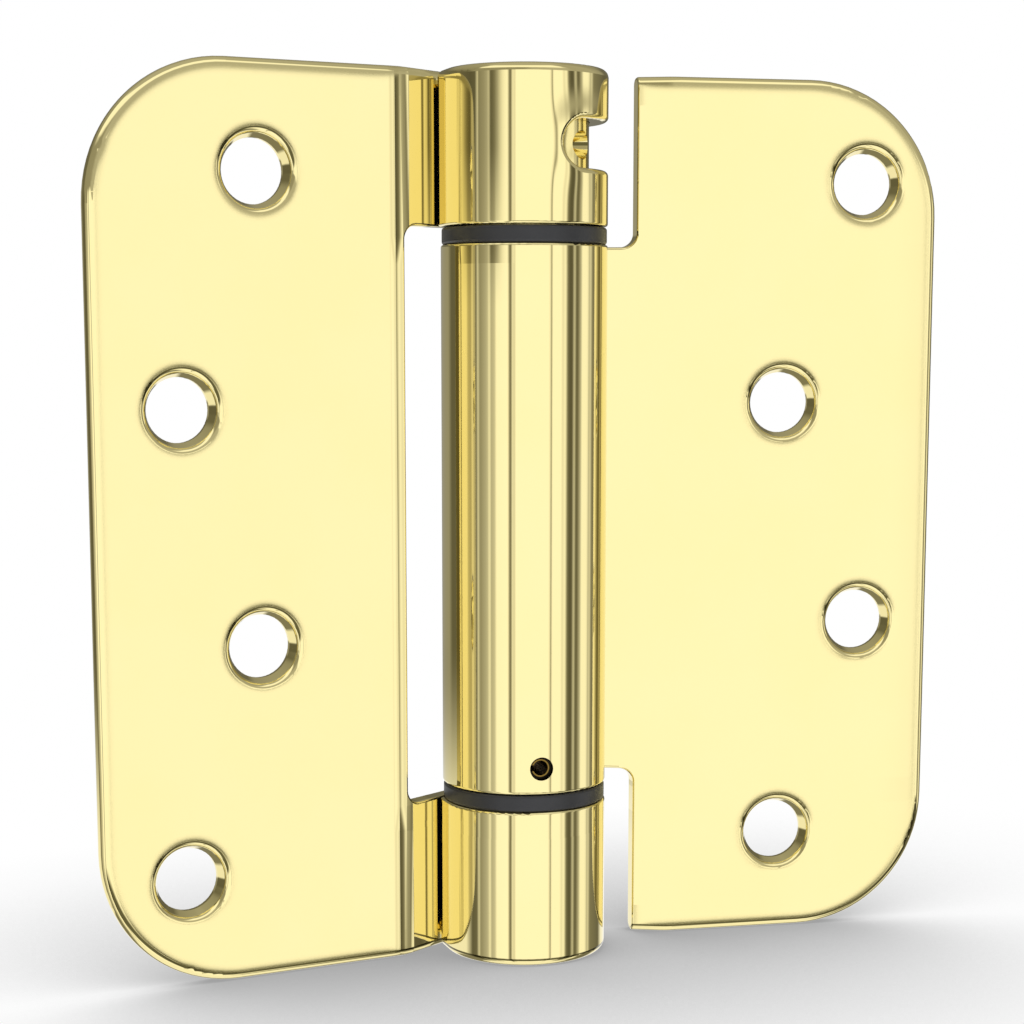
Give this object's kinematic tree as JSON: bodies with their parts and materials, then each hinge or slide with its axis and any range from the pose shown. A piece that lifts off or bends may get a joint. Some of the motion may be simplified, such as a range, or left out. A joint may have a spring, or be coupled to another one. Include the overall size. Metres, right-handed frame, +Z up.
{
  "type": "spring hinge",
  "caption": "Self-closing door hinge: two countersunk leaves with rounded corners, rolled round a barrel with a torsion spring, nylon bearings and a turnable tension cap.",
  "frame": {"origin": "on the pin axis at the hinge's lower edge", "axes": "+Z up along the pin axis; the knuckle leaf lies along -X with its countersunk face towards -Y; the barrel leaf is towards +X, swung 15 degrees towards -Y from flat"},
  "size_m": [0.1006, 0.0208, 0.1016],
  "materials": {
    "polished_brass": "polished",
    "cap_brass": "turned and polished",
    "black_nylon": "moulded",
    "spring_wire": "oiled",
    "plated_steel": "zinc plated"
  },
  "bodies": {
    "knuckle_leaf": {"knuckle_leaf": "polished_brass", "lower_bearing": "black_nylon", "bottom_plug": "cap_brass"},
    "barrel_leaf": {"barrel_leaf": "polished_brass", "upper_bearing": "black_nylon", "spring_anchor": "plated_steel", "anchor_pin": "plated_steel", "torsion_spring": "spring_wire"},
    "tension_cap": {"tension_cap": "cap_brass"}
  },
  "joints": [
    {"name": "leaf_swing", "type": "hinge", "parent": "knuckle_leaf", "child": "barrel_leaf", "pos_m": [0, 0, 0], "axis": [0, 0, 1], "range_deg": [-165, 15], "stiffness_Nm_per_rad": 1.2, "deforming": ["torsion_spring"]},
    {"name": "cap_turn", "type": "hinge", "parent": "knuckle_leaf", "child": "tension_cap", "pos_m": [0, 0, 0.093], "axis": [0, 0, 1], "range_deg": [-270, 0], "deforming": ["torsion_spring"]}
  ]
}
